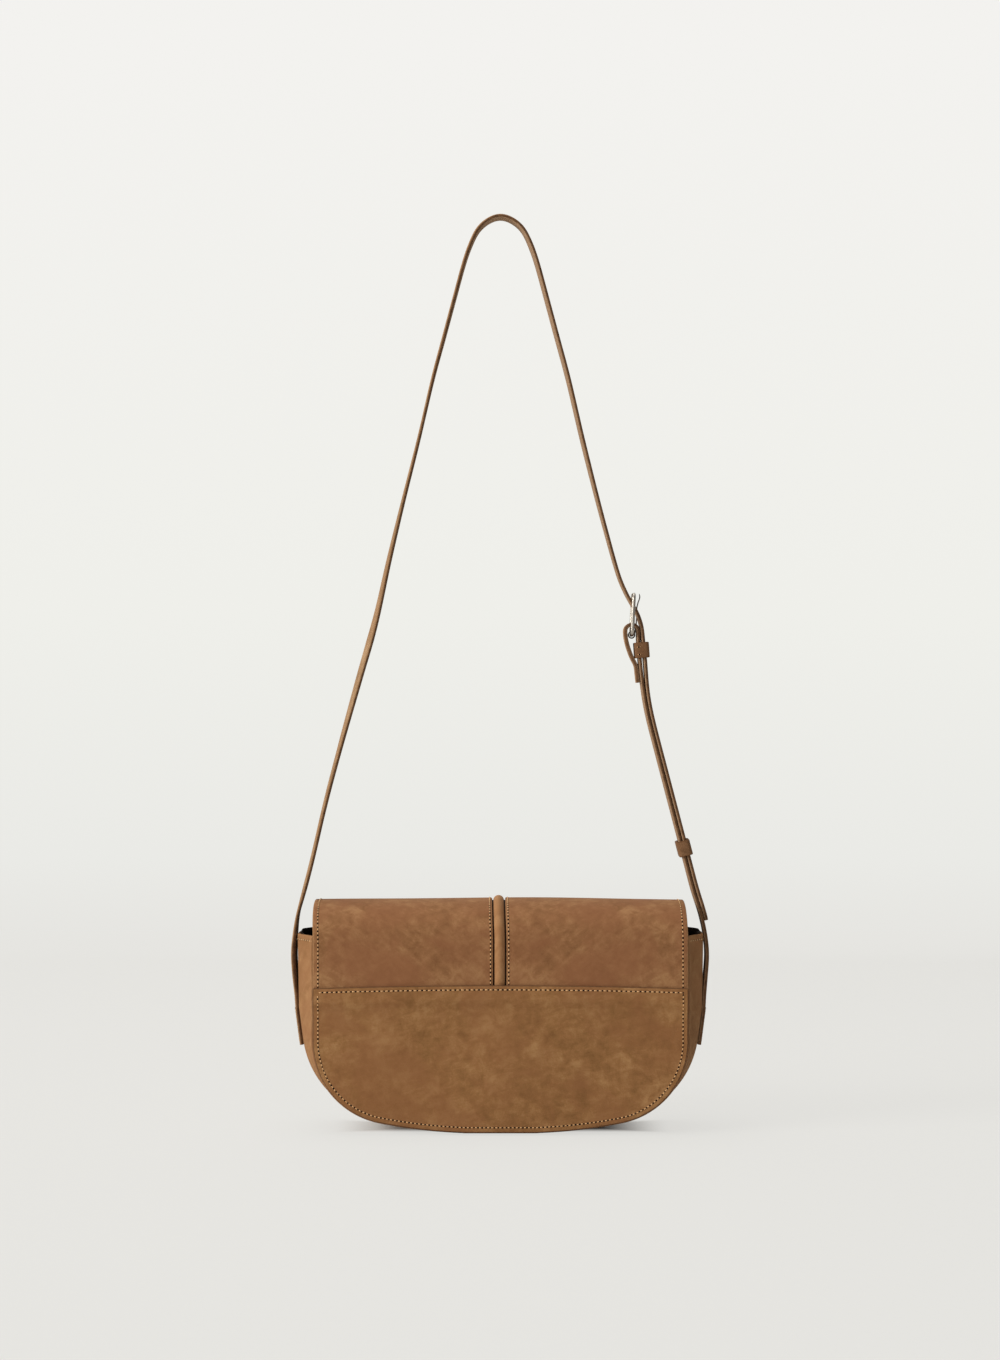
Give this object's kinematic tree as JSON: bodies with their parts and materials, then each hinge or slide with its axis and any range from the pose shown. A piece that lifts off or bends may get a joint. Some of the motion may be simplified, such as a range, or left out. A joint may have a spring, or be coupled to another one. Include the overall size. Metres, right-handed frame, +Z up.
{
  "type": "half moon shoulder bag",
  "caption": "Half moon leather bag with a full flap, a rolled centre ridge, a bellied gusset, a magnetic snap and a buckled shoulder strap.",
  "frame": {"origin": "on the surface that the bag stands on, under the middle of its whole box", "axes": "+Z up, along the raised strap; +X to the bag's right as its flap is faced; +Y from the flap's front to the back panel"},
  "size_m": [0.2606, 0.0676, 0.5705],
  "materials": {
    "upper_leather": "nubuck, reddish tan, brushed marks",
    "lower_leather": "nubuck, olive tan, marbled brush marks",
    "side_leather": "nubuck, tan",
    "strap_leather": "nubuck, tan, painted dark edges",
    "lining": "dark brown woven cotton",
    "nickel": "satin nickel",
    "magnet": "dark plated magnet"
  },
  "bodies": {
    "bag": {"back_panel": "side_leather", "front_panel": "side_leather", "gusset": "side_leather", "back_lining": "lining", "front_lining": "lining", "gusset_lining": "lining", "slip_pocket": "lining", "flap_back_left": "upper_leather", "flap_back_right": "upper_leather", "roll_back": "upper_leather", "snap_case": "nickel", "snap_magnet": "magnet", "snap_washer": "nickel", "strap_tab_left": "strap_leather", "strap_tab_right": "strap_leather"},
    "flap_top": {"flap_top_left": "upper_leather", "flap_top_right": "upper_leather", "flap_top_lining": "lining", "roll_top": "upper_leather"},
    "flap_front": {"flap_front_left": "upper_leather", "flap_front_right": "upper_leather", "flap_front_lining": "lining", "roll_front": "upper_leather", "flap_lower_panel": "lower_leather", "snap_stud": "nickel"},
    "strap": {"long_strap": "strap_leather", "short_strap": "strap_leather", "fixed_keeper": "strap_leather"},
    "buckle": {"buckle_frame": "nickel"},
    "prong": {"buckle_prong": "nickel"},
    "slider": {"sliding_keeper": "strap_leather"}
  },
  "joints": [
    {"name": "flap_lift", "type": "hinge", "parent": "bag", "child": "flap_top", "pos_m": [0, 0.0326, 0.12], "axis": [-1, 0, 0], "range_deg": [0, 30]},
    {"name": "flap_fold", "type": "hinge", "parent": "flap_top", "child": "flap_front", "pos_m": [0, -0.0319, 0.12], "axis": [-1, 0, 0], "range_deg": [0, 110]},
    {"name": "strap_swing", "type": "hinge", "parent": "bag", "child": "strap", "pos_m": [0, 0.0026, 0.082], "axis": [1, 0, 0], "range_deg": [-90, 90]},
    {"name": "buckle_tilt", "type": "hinge", "parent": "strap", "child": "buckle", "pos_m": [0.08209, 0.0026, 0.30679], "axis": [0, 1, 0], "range_deg": [-2, 3]},
    {"name": "prong_swing", "type": "hinge", "parent": "buckle", "child": "prong", "pos_m": [0.08209, 0.0026, 0.30679], "axis": [0, 1, 0], "range_deg": [0, 5]},
    {"name": "keeper_slide", "type": "slide", "parent": "strap", "child": "slider", "axis": [-0.2532, 0, 0.9674], "range_m": [-0.004, 0.045]}
  ]
}
